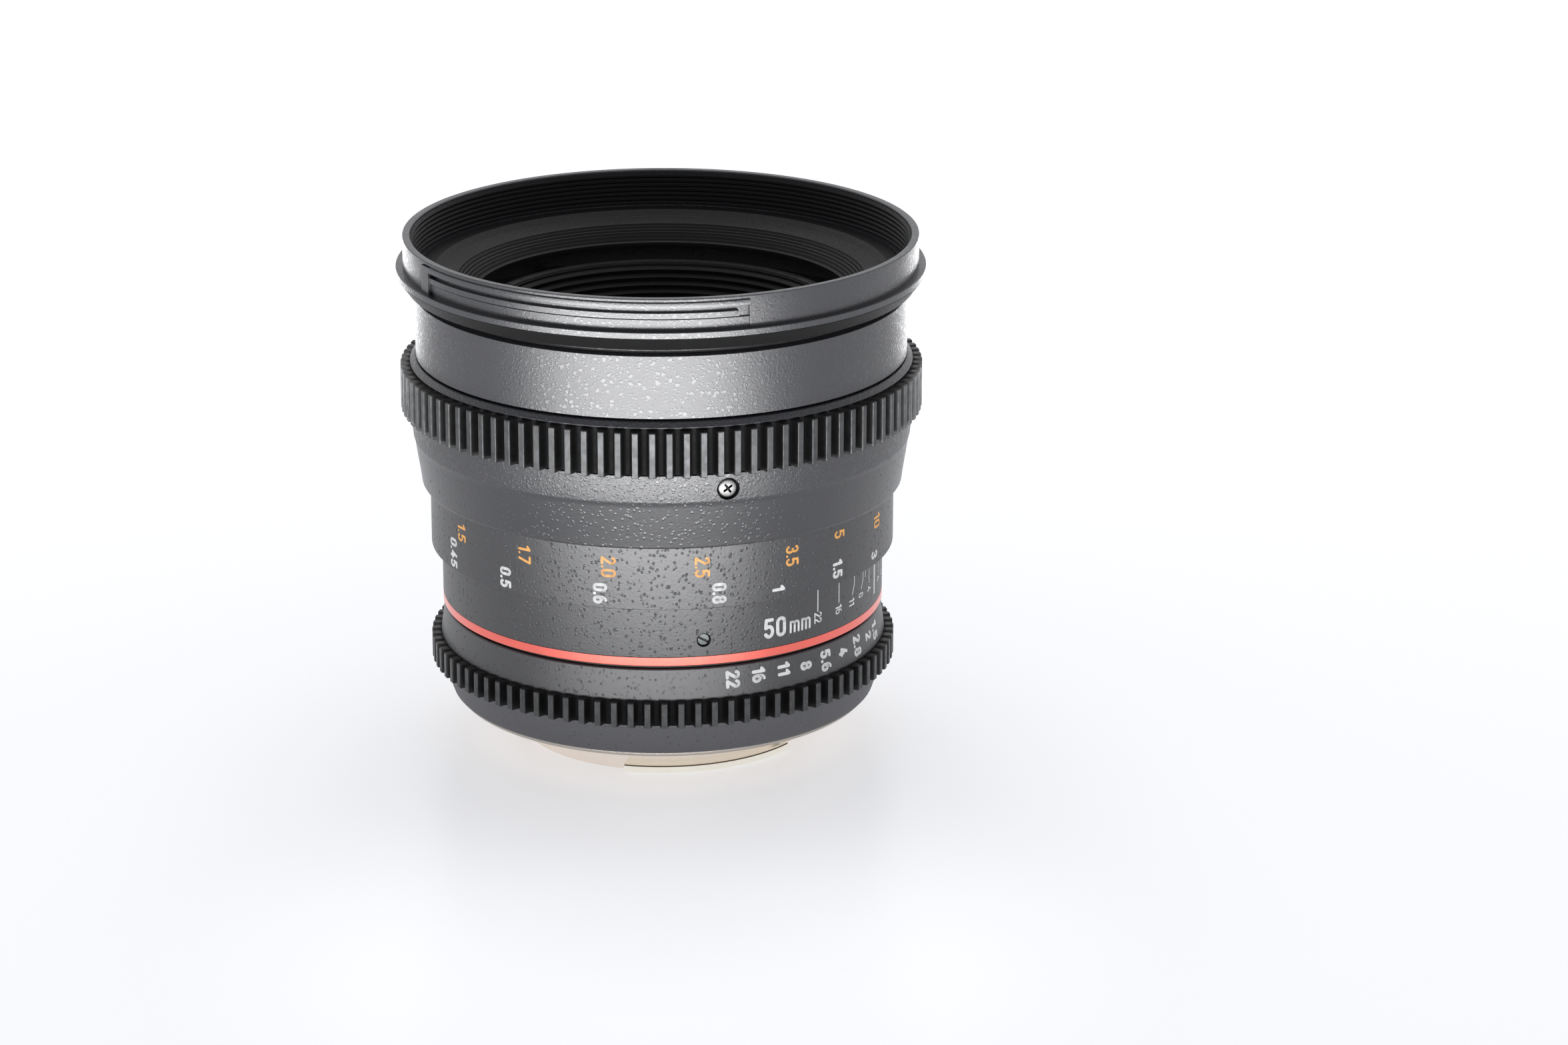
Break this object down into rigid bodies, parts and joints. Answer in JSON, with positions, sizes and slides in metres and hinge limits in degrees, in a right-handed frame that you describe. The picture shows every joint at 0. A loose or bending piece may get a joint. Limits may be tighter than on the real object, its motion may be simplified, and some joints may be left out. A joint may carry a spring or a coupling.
{
  "type": "manual focus prime lens",
  "caption": "Manual-focus prime lens with geared focus and aperture rings, a moving glass unit, an iris of pivoting blades and a three-lug bayonet.",
  "frame": {"origin": "on the optical axis at the rear end of the bayonet", "axes": "+Z along the optical axis towards the subject; -Y is the side that the picture shows"},
  "size_m": [0.0816, 0.0816, 0.0803],
  "materials": {
    "black_satin": "satin",
    "black_inside": "matte",
    "mount_nickel": "polished",
    "steel": "satin",
    "brass": "satin",
    "aluminium": "satin",
    "red_anodised": "gloss",
    "washer": "matte",
    "blade": "matte",
    "glass": "gloss"
  },
  "bodies": {
    "barrel": {"bayonet_mount": "mount_nickel", "bayonet_stop_pin": "steel", "mount_screws": "steel", "flange_shim": "steel", "rear_baffle": "black_inside", "chassis_barrel": "black_satin", "rear_barrel": "black_satin", "red_ring": "red_anodised", "name_barrel": "black_satin", "grub_screws": "steel", "rear_thrust_washer": "washer", "guide_tube": "aluminium", "front_thrust_washer": "washer", "front_barrel": "black_satin", "front_barrel_screws": "steel", "front_ring": "black_satin", "front_baffle": "black_inside"},
    "focus_ring": {"focus_ring": "black_satin", "cam_sleeve": "brass", "focus_ring_screws": "steel"},
    "optical_unit": {"optical_barrel": "black_inside", "cam_rollers": "brass", "roller_screws": "steel", "lens_element_1": "glass", "lens_element_2": "glass", "lens_element_3": "glass", "lens_element_4": "glass", "lens_element_5": "glass", "lens_element_6": "glass", "lens_element_7": "glass", "lens_element_8": "glass", "lens_element_9": "glass", "front_cell": "black_inside", "front_spacer": "black_inside", "front_trim_ring": "black_inside", "iris_plate": "blade", "rear_cell": "black_inside", "rear_spacer": "black_inside", "middle_spacer": "black_inside", "doublet_sleeve": "black_inside", "rear_retaining_ring": "brass"},
    "aperture_ring": {"aperture_ring": "black_satin", "aperture_fork": "brass"},
    "iris_cam": {"iris_cam_ring": "brass", "iris_lever": "brass"},
    "iris_blade_1": {"iris_blade_1": "blade"},
    "iris_blade_2": {"iris_blade_2": "blade"},
    "iris_blade_3": {"iris_blade_3": "blade"},
    "iris_blade_4": {"iris_blade_4": "blade"},
    "iris_blade_5": {"iris_blade_5": "blade"},
    "iris_blade_6": {"iris_blade_6": "blade"},
    "iris_blade_7": {"iris_blade_7": "blade"},
    "iris_blade_8": {"iris_blade_8": "blade"}
  },
  "joints": [
    {"name": "focus_turn", "type": "hinge", "parent": "barrel", "child": "focus_ring", "pos_m": [0, 0, 0.05], "axis": [0, 0, 1], "range_deg": [-8.4, 134.2]},
    {"name": "focus_slide", "type": "slide", "parent": "barrel", "child": "optical_unit", "axis": [0, 0, 1], "range_m": [-0.00043, 0.0069]},
    {"name": "aperture_turn", "type": "hinge", "parent": "barrel", "child": "aperture_ring", "pos_m": [0, 0, 0.016], "axis": [0, 0, 1], "range_deg": [0, 54.5]},
    {"name": "iris_turn", "type": "hinge", "parent": "optical_unit", "child": "iris_cam", "pos_m": [0, 0, 0.0372], "axis": [0, 0, 1], "range_deg": [0, 54.5]},
    {"name": "iris_blade_1_turn", "type": "hinge", "parent": "optical_unit", "child": "iris_blade_1", "pos_m": [0.024, 0, 0.038], "axis": [0, 0, 1], "range_deg": [0, 32.7]},
    {"name": "iris_blade_2_turn", "type": "hinge", "parent": "optical_unit", "child": "iris_blade_2", "pos_m": [0.01697, 0.01697, 0.038], "axis": [0, 0, 1], "range_deg": [0, 32.7]},
    {"name": "iris_blade_3_turn", "type": "hinge", "parent": "optical_unit", "child": "iris_blade_3", "pos_m": [0, 0.024, 0.038], "axis": [0, 0, 1], "range_deg": [0, 32.7]},
    {"name": "iris_blade_4_turn", "type": "hinge", "parent": "optical_unit", "child": "iris_blade_4", "pos_m": [-0.01697, 0.01697, 0.038], "axis": [0, 0, 1], "range_deg": [0, 32.7]},
    {"name": "iris_blade_5_turn", "type": "hinge", "parent": "optical_unit", "child": "iris_blade_5", "pos_m": [-0.024, 0, 0.038], "axis": [0, 0, 1], "range_deg": [0, 32.7]},
    {"name": "iris_blade_6_turn", "type": "hinge", "parent": "optical_unit", "child": "iris_blade_6", "pos_m": [-0.01697, -0.01697, 0.038], "axis": [0, 0, 1], "range_deg": [0, 32.7]},
    {"name": "iris_blade_7_turn", "type": "hinge", "parent": "optical_unit", "child": "iris_blade_7", "pos_m": [0, -0.024, 0.038], "axis": [0, 0, 1], "range_deg": [0, 32.7]},
    {"name": "iris_blade_8_turn", "type": "hinge", "parent": "optical_unit", "child": "iris_blade_8", "pos_m": [0.01697, -0.01697, 0.038], "axis": [0, 0, 1], "range_deg": [0, 32.7]}
  ],
  "couplings": [
    {"joint": "focus_slide", "follows": "focus_turn", "m_per_rad": 0.0029444},
    {"joint": "iris_turn", "follows": "aperture_turn", "ratio": 1},
    {"joint": "iris_blade_1_turn", "follows": "aperture_turn", "ratio": 0.6},
    {"joint": "iris_blade_2_turn", "follows": "aperture_turn", "ratio": 0.6},
    {"joint": "iris_blade_3_turn", "follows": "aperture_turn", "ratio": 0.6},
    {"joint": "iris_blade_4_turn", "follows": "aperture_turn", "ratio": 0.6},
    {"joint": "iris_blade_5_turn", "follows": "aperture_turn", "ratio": 0.6},
    {"joint": "iris_blade_6_turn", "follows": "aperture_turn", "ratio": 0.6},
    {"joint": "iris_blade_7_turn", "follows": "aperture_turn", "ratio": 0.6},
    {"joint": "iris_blade_8_turn", "follows": "aperture_turn", "ratio": 0.6}
  ]
}
